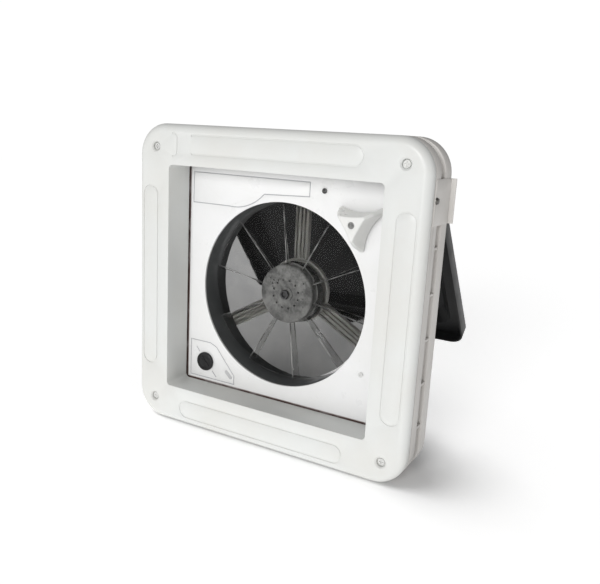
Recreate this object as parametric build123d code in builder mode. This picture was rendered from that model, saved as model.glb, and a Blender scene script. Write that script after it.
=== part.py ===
"""Roof exhaust fan for a food truck: 14 inch cut-out, 12 V motor, cranked lid.

Frame: X to the right, Y from the cabin out through the roof, Z up the unit as it stands
on its lower edge. The origin is the centre of the roof opening, in the plane of the
roof skin. The lid is drawn open, as the unit stands at rest.
"""
from build123d import *
import math
import os

# ---------------------------------------------------------------- driving dimensions
OUTER = 445.0            # side of the trim ring and of the roof frame
CORNER_R = 45.0
OPENING = 331.6          # clear square opening seen from the cabin
NECK_OUT = 172.5         # half width of the neck that enters the 355.6 mm cut-out
NECK_IN = 169.5
NECK_R = 11.0

TRIM_FRONT = -17.0       # cabin face of the trim ring
TRIM_WALL = 3.0
TRIM_BACK = -2.1
TRIM_NECK_END = 29.5      # short of the plate, which leaves a shadow line round it
TRIM_SCREW_AT = 190.0

FLANGE_T = 3.0
WALL_TOP = 58.0          # outer wall of the roof frame
GROOVE = (19.0, 36.0)    # depth span of the groove round the outer wall
GROOVE_IN = 5.0
NECK_FRONT = -12.0
NECK_TOP = 83.0
SEAL_TOP = 86.6
RIB_PITCH = 59.0
CHANNEL_MID = 194.0

PLATE_FRONT = 33.0
PLATE_T = 3.0
PLATE_HALF = 168.8
FAN_X = -2.0
FAN_Z = -9.0
DUCT_R = 133.5
DUCT_T = 3.0
DUCT_BACK = 87.0

BLADES = 10
HUB_R = 43.0
HUB_FRONT = 49.5
HUB_BOSS_END = 55.5      # depth of the hub boss, short of the motor
TIP_R = 129.0
BLADE_FRONT = 56.0       # depth of the leading edge
BLADE_CREASE = 63.0
BLADE_BACK = 65.4
BLADE_SPAN = 39.0        # degrees from the leading to the trailing edge
LEADING_AT = 24.5        # bearing of one leading edge, anticlockwise from +X
BLADE_T = 1.6

SPIDER_BACK = 95.0
SPIDER_ARM_W = 22.0
ARM_ANGLES = (90.0, 210.0, 330.0)
ARM_FOOT_R = 144.0
CAN_R = 33.0
SHAFT_R = 4.0

HINGE_Y = 83.0
HINGE_Z = 200.0
LID_OPEN = 39.2          # degrees open at rest
LID_HALF = 192.0
LID_R = 25.0
LID_OFF = 6.5            # outer face above the hinge axis, square to the lid
LID_T = 2.5
SKIRT = 21.0
LID_NEAR = 8.0           # distances along the lid from the hinge axis
LID_FAR = 391.0
DOME_RISE = 16.0
DOME_RIM = 22.0
DOME_SLOPE = 14.0
HINGE_X = 102.0

CRANK_X = 118.0
CRANK_Z = 108.5
ARM_PIVOT_Y = 54.0
ARM_PIVOT_Z = 88.5
ARM_LENGTH = 125.0
ARM_OPEN = 97.15         # degrees from straight down towards the roof side
ARM_X = 140.0

KNOB_X = -130.2
KNOB_Z = -133.8
KNOB_FRONT = 28.6
KNOB_BACK = 32.2
KNOB_DISH = 1.2
KNOB_AIM = 132            # where the pointer stands when the fan is off, degrees
SPINDLE_R = 3.0
SPINDLE_FRONT = 30.4

BRACKET_Z = 146.0
BRACKET_H = 56.0
BRACKET_SCREW = (6.5, 148.5)

os.makedirs("parts", exist_ok=True)


# ---------------------------------------------------------------- helpers
def cut_plane(y):
    """Plane square to the fan axis at depth y; extrusions run towards the cabin."""
    return Plane(origin=(0, y, 0), x_dir=(1, 0, 0), z_dir=(0, -1, 0))


def lid_plane(off):
    """Plane along the open lid: local x is X, local y runs down the lid from the hinge."""
    tilt = math.radians(LID_OPEN)
    normal = (0, math.cos(tilt), math.sin(tilt))
    foot = (0, HINGE_Y + off * normal[1], HINGE_Z + off * normal[2])
    return Plane(origin=foot, x_dir=(1, 0, 0), z_dir=normal)


def arm_plane(x):
    """Plane square to X at the lift arm's pivot: local x runs out along the arm."""
    lean = math.radians(ARM_OPEN)
    along = (0, math.sin(lean), -math.cos(lean))
    return Plane(origin=(x, ARM_PIVOT_Y, ARM_PIVOT_Z), x_dir=along, z_dir=(1, 0, 0))


def save(builder, name):
    builder.part.label = name
    export_step(builder.part, f"parts/{name}.step")


def square_ring(y0, y1, half_out, r_out, half_in, r_in):
    """A square tube wall between two depths, added to the part being built."""
    with BuildSketch(cut_plane(y1)) as wall:
        RectangleRounded(2 * half_out, 2 * half_out, r_out)
        RectangleRounded(2 * half_in, 2 * half_in, r_in, mode=Mode.SUBTRACT)
    extrude(wall.sketch, amount=y1 - y0)


def disc(y0, y1, radius, places, mode=Mode.ADD):
    """Round bars or bores along the fan axis between two depths."""
    with BuildSketch(cut_plane(y1)) as rounds:
        with Locations(*places):
            Circle(radius)
    extrude(rounds.sketch, amount=y1 - y0, mode=mode)


def polar(angle, radius):
    """Point at an angle and radius about the fan axis."""
    turn = math.radians(angle)
    return (FAN_X + radius * math.cos(turn), FAN_Z + radius * math.sin(turn))


def screws(name, places, seat, head_r, head_h, shank_r, length, recess=1.4):
    """Pan-head screws driven from the cabin side, heads seated at depth seat."""
    with BuildPart() as group:
        disc(seat - head_h, seat, head_r, places)
        disc(seat, seat + length, shank_r, places)
        with BuildSketch(cut_plane(seat - head_h + recess)):
            with Locations(*places):
                Rectangle(1.3 * head_r, 0.3 * head_r)
                Rectangle(0.3 * head_r, 1.3 * head_r)
        extrude(amount=recess, mode=Mode.SUBTRACT)
    save(group, name)


def outer_screws(name, places, seat, head_r, head_h, shank_r, length, recess=1.2):
    """Pan-head screws driven from the roof side, heads seated at depth seat."""
    with BuildPart() as group:
        disc(seat, seat + head_h, head_r, places)
        disc(seat - length, seat, shank_r, places)
        with BuildSketch(cut_plane(seat + head_h)):
            with Locations(*places):
                Rectangle(1.3 * head_r, 0.3 * head_r)
                Rectangle(0.3 * head_r, 1.3 * head_r)
        extrude(amount=recess, mode=Mode.SUBTRACT)
    save(group, name)


corners = [(x, z) for x in (-TRIM_SCREW_AT, TRIM_SCREW_AT) for z in (-TRIM_SCREW_AT, TRIM_SCREW_AT)]
HALF = OUTER / 2
fan_axis = [(FAN_X, FAN_Z)]

# ---------------------------------------------------------------- trim ring
PILL_WIDE = 28.0
PILL_LINE = 2.2
PILL_DEEP = 1.1
PILL_OPEN = 18.0
TOP_PILL = (-136.0, 137.0, 195.0)     # left end, right end, height
LOW_PILL = (-141.0, 135.0, -197.0)
SIDE_PILL = (-137.0, 135.0)
RIGHT_PILL_X = 197.5
LEFT_PILL_X = -198.5
TRIM_EDGE_R = 11.0
SCREW_DISH_R = 8.2

with BuildPart() as trim_ring:
    with BuildSketch(cut_plane(TRIM_BACK)):
        RectangleRounded(OUTER, OUTER, CORNER_R)
    extrude(amount=TRIM_BACK - TRIM_FRONT)
    front_rim = trim_ring.faces().sort_by(Axis.Y)[0].edges()
    fillet(front_rim, TRIM_EDGE_R)
    with BuildSketch(cut_plane(TRIM_BACK)):
        RectangleRounded(OUTER - 2 * TRIM_WALL, OUTER - 2 * TRIM_WALL, CORNER_R - TRIM_WALL)
        RectangleRounded(2 * 168.6, 2 * 168.6, 8, mode=Mode.SUBTRACT)
    extrude(amount=TRIM_BACK - TRIM_FRONT - TRIM_EDGE_R, mode=Mode.SUBTRACT)
    with BuildSketch(cut_plane(TRIM_FRONT + TRIM_EDGE_R)):
        RectangleRounded(OUTER - 2 * TRIM_EDGE_R, OUTER - 2 * TRIM_EDGE_R, CORNER_R - TRIM_EDGE_R)
        RectangleRounded(2 * 168.6, 2 * 168.6, 8, mode=Mode.SUBTRACT)
    extrude(amount=TRIM_EDGE_R - TRIM_WALL, mode=Mode.SUBTRACT)
    square_ring(TRIM_FRONT + TRIM_WALL, TRIM_NECK_END, 168.6, 8, OPENING / 2, 6)
    disc(TRIM_FRONT + TRIM_WALL, TRIM_BACK, 8.5, corners)
    with BuildSketch(cut_plane(TRIM_NECK_END)):
        RectangleRounded(OPENING, OPENING, 6)
    extrude(amount=TRIM_NECK_END - TRIM_FRONT, mode=Mode.SUBTRACT)
    disc(TRIM_FRONT, TRIM_FRONT + 6, 6.2, corners, Mode.SUBTRACT)
    disc(TRIM_FRONT, TRIM_BACK, 2.3, corners, Mode.SUBTRACT)
    # dished mouths of the four screw recesses
    with BuildSketch(cut_plane(TRIM_FRONT + SCREW_DISH_R - 6.2)) as dish:
        with Locations(*corners):
            Circle(6.2)
    extrude(dish.sketch, amount=SCREW_DISH_R - 6.2, taper=-45, mode=Mode.SUBTRACT)
    # shallow grooves that frame the four sides
    with BuildSketch(cut_plane(TRIM_FRONT + PILL_DEEP)):
        for left, right, height in (TOP_PILL, LOW_PILL):
            with Locations(((left + right) / 2, height)):
                SlotOverall(right - left, PILL_WIDE)
                SlotOverall(right - left - 2 * PILL_LINE, PILL_WIDE - 2 * PILL_LINE, mode=Mode.SUBTRACT)
        # the upper outline is open at its left end
        with Locations((TOP_PILL[0], TOP_PILL[2])):
            Rectangle(PILL_OPEN, PILL_WIDE + 2, mode=Mode.SUBTRACT)
        for x in (LEFT_PILL_X, RIGHT_PILL_X):
            with Locations((x, (SIDE_PILL[0] + SIDE_PILL[1]) / 2)):
                tall = SIDE_PILL[1] - SIDE_PILL[0]
                SlotOverall(tall, PILL_WIDE, rotation=90)
                SlotOverall(tall - 2 * PILL_LINE, PILL_WIDE - 2 * PILL_LINE, rotation=90,
                            mode=Mode.SUBTRACT)
    extrude(amount=PILL_DEEP, mode=Mode.SUBTRACT)
    # one short groove, open to the left, beside the upper left screw
    with BuildSketch(cut_plane(TRIM_FRONT + PILL_DEEP)):
        with Locations((-162, 194)):
            RectangleRounded(24, 34, 8)
            RectangleRounded(24 - 2 * PILL_LINE, 34 - 2 * PILL_LINE, 6, mode=Mode.SUBTRACT)
        with Locations((-171, 194)):
            Rectangle(22, 36, mode=Mode.SUBTRACT)
    extrude(amount=PILL_DEEP, mode=Mode.SUBTRACT)
save(trim_ring, "trim_ring")

screws("trim_screws", corners, TRIM_FRONT + 6, 4.6, 2.6, 2.2, 38)

# ---------------------------------------------------------------- roof frame
rib_at = [RIB_PITCH * k for k in (-2.5, -1.5, -0.5, 0.5, 1.5, 2.5)]
screw_at = [RIB_PITCH * k for k in (-2, -1, 1, 2)]
roof_screw_places = [(s, side * CHANNEL_MID) for s in screw_at for side in (-1, 1)]
roof_screw_places += [(side * CHANNEL_MID, s) for s in screw_at for side in (-1, 1)]
plate_screw_places = [(60.0, 145.5), (132.0, -97.5)]

with BuildPart() as roof_frame:
    # the flange that lies on the roof, and the grooved wall round it
    square_ring(0, FLANGE_T, HALF, CORNER_R, NECK_OUT, NECK_R)
    square_ring(0, GROOVE[0], HALF, CORNER_R, HALF - 3, CORNER_R - 3)
    square_ring(GROOVE[0] - 2.5, GROOVE[0], HALF, CORNER_R, HALF - 8, CORNER_R - 8)
    square_ring(GROOVE[0] - 2.5, GROOVE[1] + 2.5, HALF - GROOVE_IN, CORNER_R - 5, HALF - 8, CORNER_R - 8)
    square_ring(GROOVE[1], GROOVE[1] + 2.5, HALF, CORNER_R, HALF - 8, CORNER_R - 8)
    square_ring(GROOVE[1], WALL_TOP, HALF, CORNER_R, HALF - 3, CORNER_R - 3)
    disc(0, FLANGE_T, 2.25, corners, Mode.SUBTRACT)
    disc(0, FLANGE_T, 2.6, roof_screw_places, Mode.SUBTRACT)
    disc(0, FLANGE_T, 1.85, [(-HINGE_X, HINGE_Z), (HINGE_X, HINGE_Z)], Mode.SUBTRACT)
    # drain slots through the groove wall
    for side in (-1, 1):
        with BuildSketch(Plane.YZ.offset(side * (HALF - 12))):
            for at in (-118, -59, 0, 59):
                with Locations((27.5, at)):
                    SlotOverall(30, 5, rotation=90)
        extrude(amount=side * 14, mode=Mode.SUBTRACT)
        with BuildSketch(Plane.XY.offset(side * (HALF - 12))):
            for at in (-118, -59, 0, 59, 118):
                with Locations((at, 27.5)):
                    SlotOverall(30, 5)
        extrude(amount=side * 14, mode=Mode.SUBTRACT)
        with BuildSketch(Plane.YZ.offset(side * (HALF - 12))):
            with Locations(BRACKET_SCREW):
                Circle(1.9)
        extrude(amount=side * 14, mode=Mode.SUBTRACT)
save(roof_frame, "roof_frame")

with BuildPart() as frame_neck:
    # the square tube through the roof, with the ledge that carries the plate
    square_ring(NECK_FRONT, NECK_TOP, NECK_OUT, NECK_R, NECK_IN, 8)
    square_ring(PLATE_FRONT + PLATE_T, PLATE_FRONT + PLATE_T + 3, NECK_IN, 8, 158, 6)
save(frame_neck, "frame_neck")

with BuildPart() as corner_tubes:
    disc(FLANGE_T, 32, 6, corners)
    disc(FLANGE_T, 32, 2.25, corners, Mode.SUBTRACT)
save(corner_tubes, "corner_tubes")

with BuildPart() as frame_ribs:
    # gussets across the channel, between the neck and the outer wall
    gusset_long = HALF - 3 - NECK_OUT
    gusset_at = (HALF - 3 + NECK_OUT) / 2
    with BuildSketch(cut_plane(16)):
        for at in rib_at:
            for side in (-1, 1):
                with Locations((at, side * gusset_at)):
                    Rectangle(2.5, gusset_long)
                with Locations((side * gusset_at, at)):
                    Rectangle(gusset_long, 2.5)
    extrude(amount=16 - FLANGE_T)
    # raised ticks in the groove, one in line with each gusset
    for side in (-1, 1):
        with BuildSketch(Plane.YZ.offset(side * (HALF - GROOVE_IN))):
            for at in rib_at[:-1]:
                with Locations((27.5, at)):
                    Rectangle(17, 3)
        extrude(amount=side * (GROOVE_IN - 1.2))
        with BuildSketch(Plane.XY.offset(side * (HALF - GROOVE_IN))):
            for at in rib_at:
                with Locations((at, 27.5)):
                    Rectangle(3, 17)
        extrude(amount=side * (GROOVE_IN - 1.2))
        # the bracket's screw passes the end of one gusset
        with BuildSketch(Plane.YZ.offset(side * (HALF - 12))):
            with Locations(BRACKET_SCREW):
                Circle(1.9)
        extrude(amount=side * 14, mode=Mode.SUBTRACT)
save(frame_ribs, "frame_ribs")

with BuildPart() as curb_seal:
    square_ring(NECK_TOP, SEAL_TOP, NECK_OUT + 1.5, 12.5, NECK_IN - 3, 5)
    seal_top = curb_seal.faces().sort_by(Axis.Y)[-1].edges()
    fillet(seal_top, 1.2)
save(curb_seal, "curb_seal")

# ---------------------------------------------------------------- fan plate and duct
OUTLINE_W = 1.4
OUTLINE_D = 0.8

with BuildPart() as fan_plate:
    with BuildSketch(cut_plane(PLATE_FRONT + PLATE_T)):
        RectangleRounded(2 * PLATE_HALF, 2 * PLATE_HALF, 8)
        with Locations(*fan_axis):
            Circle(DUCT_R, mode=Mode.SUBTRACT)
        with Locations((CRANK_X, CRANK_Z)):
            Circle(8.1, mode=Mode.SUBTRACT)
        with Locations((KNOB_X, KNOB_Z)):
            Circle(5.1, mode=Mode.SUBTRACT)
        with Locations(*plate_screw_places):
            Circle(2.1, mode=Mode.SUBTRACT)
        with Locations((-87, -147)):
            SlotOverall(16.2, 5.2, rotation=-42, mode=Mode.SUBTRACT)
    extrude(amount=PLATE_T)
    # engraved outline of the blank panel above the duct
    with BuildSketch(cut_plane(PLATE_FRONT + OUTLINE_D)) as panel_line:
        with BuildLine():
            low = Polyline((38, 135), (38, 156), (-160, 156), (-160, 110), (-95, 110))
            RadiusArc(low @ 1, (-35, 132), -70)
            Line((-35, 132), (38, 135))
        make_face()
        offset(amount=-OUTLINE_W, mode=Mode.SUBTRACT)
    extrude(amount=OUTLINE_D, mode=Mode.SUBTRACT)
    # engraved outline round the speed knob
    with BuildSketch(cut_plane(PLATE_FRONT + OUTLINE_D)) as knob_line:
        with BuildLine():
            Polyline((-160, -102), (-122, -102), (-110, -107), (-76, -147), (-76, -161),
                     (-160, -161), close=True)
        make_face()
        offset(amount=-OUTLINE_W, mode=Mode.SUBTRACT)
    extrude(amount=OUTLINE_D, mode=Mode.SUBTRACT)
    # two dial marks beside the knob
    with BuildSketch(cut_plane(PLATE_FRONT + OUTLINE_D)):
        with Locations((KNOB_X, KNOB_Z)):
            for angle, reach in ((KNOB_AIM, 27), (KNOB_AIM - 180, 30)):
                with Locations(Location((0, 0), angle)):
                    with Locations(((18 + reach) / 2, 0)):
                        Rectangle(reach - 18, OUTLINE_W)
    extrude(amount=OUTLINE_D, mode=Mode.SUBTRACT)
save(fan_plate, "fan_plate")

screws("plate_screws", plate_screw_places, PLATE_FRONT, 3.6, 1.6, 2.0, 12, 0.9)

foot_places = [polar(angle, ARM_FOOT_R) for angle in ARM_ANGLES]

with BuildPart() as fan_shroud:
    with BuildSketch(cut_plane(DUCT_BACK)):
        with Locations(*fan_axis):
            Circle(DUCT_R + DUCT_T)
            Circle(DUCT_R, mode=Mode.SUBTRACT)
    extrude(amount=DUCT_BACK - PLATE_FRONT - PLATE_T)
    with BuildSketch(cut_plane(PLATE_FRONT + PLATE_T + 3)):
        with Locations(*fan_axis):
            Circle(DUCT_R + 9)
            Circle(DUCT_R, mode=Mode.SUBTRACT)
        with Locations(*plate_screw_places):
            Circle(7)
    extrude(amount=3)
    # screw bosses for the plate and for the three motor arms
    disc(PLATE_FRONT + PLATE_T, 50, 5.5, plate_screw_places)
    for angle in ARM_ANGLES:
        turn = math.radians(angle)
        with BuildSketch(cut_plane(DUCT_BACK)):
            with Locations(polar(angle, DUCT_R + 7)):
                Rectangle(10, 12, rotation=angle)
            with Locations(polar(angle, ARM_FOOT_R)):
                Circle(6)
            with Locations(*fan_axis):
                Circle(DUCT_R + 1, mode=Mode.SUBTRACT)
        extrude(amount=22)
    for place in plate_screw_places:
        reach = math.degrees(math.atan2(place[1] - FAN_Z, place[0] - FAN_X))
        with BuildSketch(cut_plane(50)):
            with Locations(polar(reach, 147)):
                Rectangle(26, 4, rotation=reach)
            with Locations(*fan_axis):
                Circle(DUCT_R + 1, mode=Mode.SUBTRACT)
        extrude(amount=50 - PLATE_FRONT - PLATE_T)
    disc(PLATE_FRONT + PLATE_T, 50, 2.05, plate_screw_places, Mode.SUBTRACT)
    disc(DUCT_BACK - 22, DUCT_BACK, 1.85, foot_places, Mode.SUBTRACT)
save(fan_shroud, "fan_shroud")

# ---------------------------------------------------------------- motor and its spider
RIB_W = 2.4
SPIDER_WEB = 3.0
SPIDER_R = 48.0
LUG_BACK = SPIDER_BACK - SPIDER_WEB
LUG_T = 2.5
motor_screw_places = [polar(angle, 40.0) for angle in (30.0, 150.0, 270.0)]

with BuildPart() as motor_spider:
    # a flat web at the back, with a ring wall and ribs standing towards the cabin
    disc(SPIDER_BACK - SPIDER_WEB, SPIDER_BACK, SPIDER_R, fan_axis)
    with BuildSketch(cut_plane(SPIDER_BACK)):
        with Locations(*fan_axis):
            Circle(SPIDER_R)
            Circle(SPIDER_R - RIB_W, mode=Mode.SUBTRACT)
    extrude(amount=SPIDER_BACK - DUCT_BACK)
    disc(DUCT_BACK, SPIDER_BACK, 7, foot_places)
    rib_rows = [(0, across) for across in (RIB_W / 2 - SPIDER_ARM_W / 2, -3.0, 3.0, SPIDER_ARM_W / 2 - RIB_W / 2)]
    for angle in ARM_ANGLES:
        with BuildSketch(cut_plane(SPIDER_BACK)):
            with Locations(polar(angle, 95)):
                Rectangle(ARM_FOOT_R - 45, SPIDER_ARM_W, rotation=angle)
        extrude(amount=SPIDER_WEB)
        with BuildSketch(cut_plane(SPIDER_BACK)):
            with Locations(Location(polar(angle, 92), angle)):
                with Locations(*rib_rows):
                    Rectangle(93, RIB_W)
        extrude(amount=SPIDER_BACK - DUCT_BACK)
    disc(DUCT_BACK, SPIDER_BACK, CAN_R + 0.6, fan_axis, Mode.SUBTRACT)
    disc(DUCT_BACK, SPIDER_BACK, 2.05, foot_places, Mode.SUBTRACT)
    disc(DUCT_BACK, SPIDER_BACK, 1.8, motor_screw_places, Mode.SUBTRACT)
save(motor_spider, "motor_spider")

outer_screws("spider_screws", foot_places, SPIDER_BACK, 3.6, 2.2, 1.8, 21)

with BuildPart() as motor_can:
    with BuildSketch(cut_plane(95)):
        with Locations(*fan_axis):
            Circle(CAN_R)
            Circle(CAN_R - 1.5, mode=Mode.SUBTRACT)
    extrude(amount=35)
    disc(58.5, 61, CAN_R, fan_axis)
    disc(56.5, 58.5, 9, fan_axis)
    can_nose = motor_can.faces().sort_by(Axis.Y)[0].edges()
    fillet(can_nose, 1)
    # mounting lugs on the cabin side of the spider
    disc(LUG_BACK - LUG_T, LUG_BACK, 4.8, motor_screw_places)
    for angle in (30.0, 150.0, 270.0):
        with BuildSketch(cut_plane(LUG_BACK)):
            with Locations(polar(angle, 36)):
                Rectangle(8, 9.6, rotation=angle)
        extrude(amount=LUG_T)
    disc(60.9, 95, CAN_R - 1.5, fan_axis, Mode.SUBTRACT)
    disc(56.5, 61, SHAFT_R + 0.1, fan_axis, Mode.SUBTRACT)
    disc(LUG_BACK - LUG_T, LUG_BACK, 1.8, motor_screw_places, Mode.SUBTRACT)
save(motor_can, "motor_can")

outer_screws("motor_screws", motor_screw_places, SPIDER_BACK, 3.0, 2.0, 1.75, 7, 1.0)

with BuildPart() as motor_end_cap:
    disc(95, 98, CAN_R, fan_axis)
    disc(98, 101, 10, fan_axis)
    disc(92, 95, CAN_R - 1.55, fan_axis)
    disc(92, 97.5, SHAFT_R + 0.1, fan_axis, Mode.SUBTRACT)
    with BuildSketch(cut_plane(98)):
        with Locations(*[polar(angle, 22.0) for angle in range(0, 360, 60)]):
            Circle(3)
    extrude(amount=1.2, mode=Mode.SUBTRACT)
save(motor_end_cap, "motor_end_cap")

with BuildPart() as motor_magnets:
    with BuildSketch(cut_plane(88)):
        with Locations(*fan_axis):
            Circle(CAN_R - 1.6)
            Circle(CAN_R - 7, mode=Mode.SUBTRACT)
            Rectangle(9, 80, mode=Mode.SUBTRACT)
    extrude(amount=22)
save(motor_magnets, "motor_magnets")

with BuildPart() as motor_bearings:
    for y in (61.2, 88.4):
        with BuildSketch(cut_plane(y + 3.5)):
            with Locations(*fan_axis):
                Circle(9)
                Circle(SHAFT_R + 0.05, mode=Mode.SUBTRACT)
        extrude(amount=3.5)
save(motor_bearings, "motor_bearings")

# ---------------------------------------------------------------- turning parts of the fan
with BuildPart() as motor_shaft:
    disc(46, 96, SHAFT_R, fan_axis)
    shaft_ends = motor_shaft.edges().filter_by(GeomType.CIRCLE)
    chamfer(shaft_ends, 0.6)
save(motor_shaft, "motor_shaft")

with BuildPart() as motor_rotor:
    with BuildSketch(cut_plane(86)):
        with Locations(*fan_axis):
            Circle(24.5)
            with PolarLocations(23.5, 12):
                Rectangle(5, 2, mode=Mode.SUBTRACT)
            Circle(SHAFT_R, mode=Mode.SUBTRACT)
    extrude(amount=20)
save(motor_rotor, "motor_rotor")

HUB_WALL = 2.2
HUB_BORE = 7.0
HUB_BOSS = 11.0
HUB_SKIRT_R = 44.0
HUB_BACK = 81.0
BLADE_ROOT = 39.0
BLADE_START_R = 42.2
HOLE_RING_R = 21.0
CREASE_ROOT = 6.0        # degrees from the leading edge to the crease, at the hub
CREASE_SWEEP = 0.2       # degrees more for each millimetre outwards
HUB_RIBS = 10


def blade_section(radius):
    """Profile across the blade: leading edge, crease and trailing edge, front then back."""
    half = math.radians(BLADE_SPAN / 2)
    crease = math.radians(CREASE_ROOT + CREASE_SWEEP * (radius - BLADE_ROOT))
    lead = -radius * math.tan(half)
    fold = radius * math.tan(crease - half)
    trail = radius * math.tan(half)
    return [(BLADE_FRONT, lead), (BLADE_CREASE, fold), (BLADE_BACK, trail),
            (BLADE_BACK + BLADE_T, trail), (BLADE_CREASE + BLADE_T, fold + 0.6),
            (BLADE_FRONT + BLADE_T, lead)]


with BuildPart() as one_blade:
    # sections stand square to the blade's length, from the hub out to the tip
    stand = Plane(origin=(FAN_X, 0, FAN_Z), x_dir=(0, 1, 0), z_dir=(1, 0, 0))
    for radius in (BLADE_ROOT, 85.0, TIP_R + 2):
        with BuildSketch(stand.offset(radius)) as across:
            with BuildLine() as profile:
                Polyline(*blade_section(radius), close=True)
            make_face(profile.edges())
    loft()
    with BuildSketch(cut_plane(BLADE_BACK + 5)):
        with Locations(*fan_axis):
            Circle(TIP_R)
            Circle(BLADE_START_R, mode=Mode.SUBTRACT)
    extrude(amount=BLADE_BACK - BLADE_FRONT + 10, mode=Mode.INTERSECT)

with BuildPart() as fan_wheel:
    # cup-shaped hub, turned about the fan axis
    with BuildSketch(Plane(origin=(FAN_X, 0, FAN_Z), x_dir=(1, 0, 0), z_dir=(0, 0, 1))):
        with BuildLine():
            Polyline((HUB_R - 3, HUB_FRONT), (HUB_BOSS, HUB_FRONT), (HUB_BOSS, HUB_FRONT - 1.5),
                     (HUB_BORE, HUB_FRONT - 1.5), (HUB_BORE, HUB_BOSS_END), (HUB_BOSS, HUB_BOSS_END),
                     (HUB_BOSS, HUB_FRONT + HUB_WALL), (HUB_R - 4, HUB_FRONT + HUB_WALL),
                     (HUB_R - HUB_WALL, HUB_FRONT + 4), (HUB_SKIRT_R - HUB_WALL, HUB_BACK),
                     (HUB_SKIRT_R, HUB_BACK), (HUB_R, HUB_FRONT + 3))
            RadiusArc((HUB_R, HUB_FRONT + 3), (HUB_R - 3, HUB_FRONT), 3)
        make_face()
    revolve(axis=Axis((FAN_X, 0, FAN_Z), (0, 1, 0)))
    with BuildSketch(cut_plane(HUB_FRONT + HUB_WALL + 4)):
        with Locations(*fan_axis):
            with PolarLocations(24, HUB_RIBS):
                Rectangle(27, 1.2)
    extrude(amount=4)
    disc(HUB_FRONT, HUB_FRONT + HUB_WALL, 1.6,
         [polar(angle, HOLE_RING_R) for angle in range(15, 375, 30)], Mode.SUBTRACT)
    for k in range(BLADES):
        turn = LEADING_AT + BLADE_SPAN / 2 + k * 360 / BLADES
        add(one_blade.part.rotate(Axis((FAN_X, 0, FAN_Z), (0, -1, 0)), turn))
save(fan_wheel, "fan_wheel")

with BuildPart() as hub_insert:
    disc(HUB_FRONT - 1.5, HUB_BOSS_END, HUB_BORE, fan_axis)
    disc(HUB_FRONT - 2, HUB_BOSS_END + 1, SHAFT_R, fan_axis, Mode.SUBTRACT)
save(hub_insert, "hub_insert")

with BuildPart() as fan_nut:
    with BuildSketch(cut_plane(HUB_FRONT - 1.5)):
        with Locations(*fan_axis):
            RegularPolygon(7.2, 6)
            Circle(SHAFT_R, mode=Mode.SUBTRACT)
    extrude(amount=4.5)
save(fan_nut, "fan_nut")

# ---------------------------------------------------------------- crank
KNOB_TOP = -2.0
KNOB_BASE = 30.5
TIP_ANGLES = (33.0, 153.0, 273.0)


def three_lobes(tip, waist):
    """Rounded three-pointed outline with hollow sides, in the sketch being built."""
    points = []
    for angle in TIP_ANGLES:
        for turn, radius in ((angle - 7, tip), (angle + 7, tip), (angle + 60, waist)):
            bearing = math.radians(turn)
            points.append((CRANK_X + radius * math.cos(bearing), CRANK_Z + radius * math.sin(bearing)))
    with BuildLine() as outline:
        for k in range(3):
            left, right, hollow = points[3 * k], points[3 * k + 1], points[3 * k + 2]
            nose = math.radians(TIP_ANGLES[k])
            crest = (CRANK_X + (tip + 2) * math.cos(nose), CRANK_Z + (tip + 2) * math.sin(nose))
            ThreePointArc(left, crest, right)
            ThreePointArc(right, hollow, points[(3 * k + 3) % 9])
    make_face(outline.edges())


with BuildPart() as crank_knob:
    with BuildSketch(cut_plane(KNOB_BASE)):
        three_lobes(36, 14.5)
    with BuildSketch(cut_plane(9)):
        three_lobes(27, 12)
    loft()
    with BuildSketch(cut_plane(9)):
        three_lobes(27, 12)
    with BuildSketch(cut_plane(KNOB_TOP + 1.2)):
        three_lobes(19.5, 11)
    loft()
    with BuildSketch(cut_plane(KNOB_TOP + 1.2)):
        three_lobes(19.5, 11)
    with BuildSketch(cut_plane(KNOB_TOP)):
        three_lobes(18, 9.8)
    loft()
    disc(KNOB_TOP, KNOB_TOP + 3, 4.6, [(CRANK_X, CRANK_Z)], Mode.SUBTRACT)
    disc(KNOB_TOP, 14, 2.05, [(CRANK_X, CRANK_Z)], Mode.SUBTRACT)
    disc(14, KNOB_BASE, 5.0, [(CRANK_X, CRANK_Z)], Mode.SUBTRACT)
save(crank_knob, "crank_knob")

screws("crank_screw", [(CRANK_X, CRANK_Z)], KNOB_TOP + 3, 4.3, 2.4, 2.0, 20)

with BuildPart() as crank_shaft:
    disc(14, 68, 5.0, [(CRANK_X, CRANK_Z)])
    disc(14, 26, 2.05, [(CRANK_X, CRANK_Z)], Mode.SUBTRACT)
save(crank_shaft, "crank_shaft")

WORM_R = 7.5
with BuildPart() as crank_worm:
    with BuildSketch(cut_plane(64)):
        with Locations((CRANK_X, CRANK_Z)):
            Circle(WORM_R)
            Circle(5.0, mode=Mode.SUBTRACT)
    extrude(amount=20)
    for y in (47.5, 51.5, 55.5, 59.5):
        with BuildSketch(cut_plane(y + 2)):
            with Locations((CRANK_X, CRANK_Z)):
                Circle(WORM_R + 1)
                Circle(WORM_R - 1.4, mode=Mode.SUBTRACT)
        extrude(amount=2, mode=Mode.SUBTRACT)
save(crank_worm, "crank_worm")

with BuildPart() as crank_bush:
    with BuildSketch(cut_plane(PLATE_FRONT)):
        with Locations((CRANK_X, CRANK_Z)):
            Circle(11)
            Circle(5.08, mode=Mode.SUBTRACT)
    extrude(amount=1.5)
    with BuildSketch(cut_plane(40)):
        with Locations((CRANK_X, CRANK_Z)):
            Circle(8.0)
            Circle(5.08, mode=Mode.SUBTRACT)
    extrude(amount=40 - PLATE_FRONT)
save(crank_bush, "crank_bush")

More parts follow.
